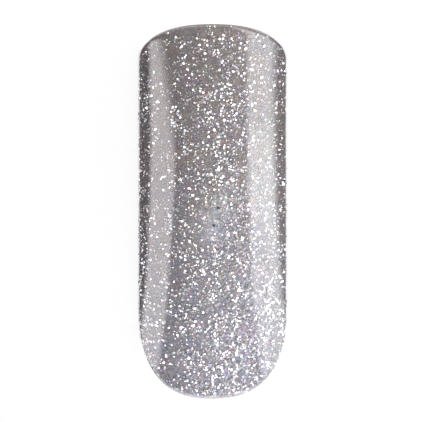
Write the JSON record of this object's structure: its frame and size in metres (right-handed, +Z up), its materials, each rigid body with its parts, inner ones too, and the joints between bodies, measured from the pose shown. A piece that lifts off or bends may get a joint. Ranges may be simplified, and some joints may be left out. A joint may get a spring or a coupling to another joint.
{
  "type": "painted false nail tip",
  "caption": "Long arched false nail tip with a squared-oval free edge, coated in silver glitter gel polish under a clear gloss top coat, as used to show a polish colour.",
  "frame": {"origin": "on the table, under the middle of the nail's bounding box", "axes": "+Z up through the arch, +Y along the nail from the cuticle end to the free edge, +X across it"},
  "size_m": [0.0122, 0.0306, 0.0042],
  "materials": {
    "milky_abs": "smooth milky natural plastic, satin inside",
    "clear_base_gel": "clear cured gel",
    "silver_glitter_gel_under": "silver shimmer gel, dense and warm grey",
    "silver_glitter_gel_over": "silver gel full of bright hexagonal glitter with a faint pink, blue and green play",
    "clear_top_gel": "clear high-gloss cured gel"
  },
  "bodies": {
    "root": {"nail_tip": "milky_abs", "base_coat": "clear_base_gel", "first_glitter_coat": "silver_glitter_gel_under", "second_glitter_coat": "silver_glitter_gel_over", "top_coat": "clear_top_gel"}
  },
  "joints": []
}
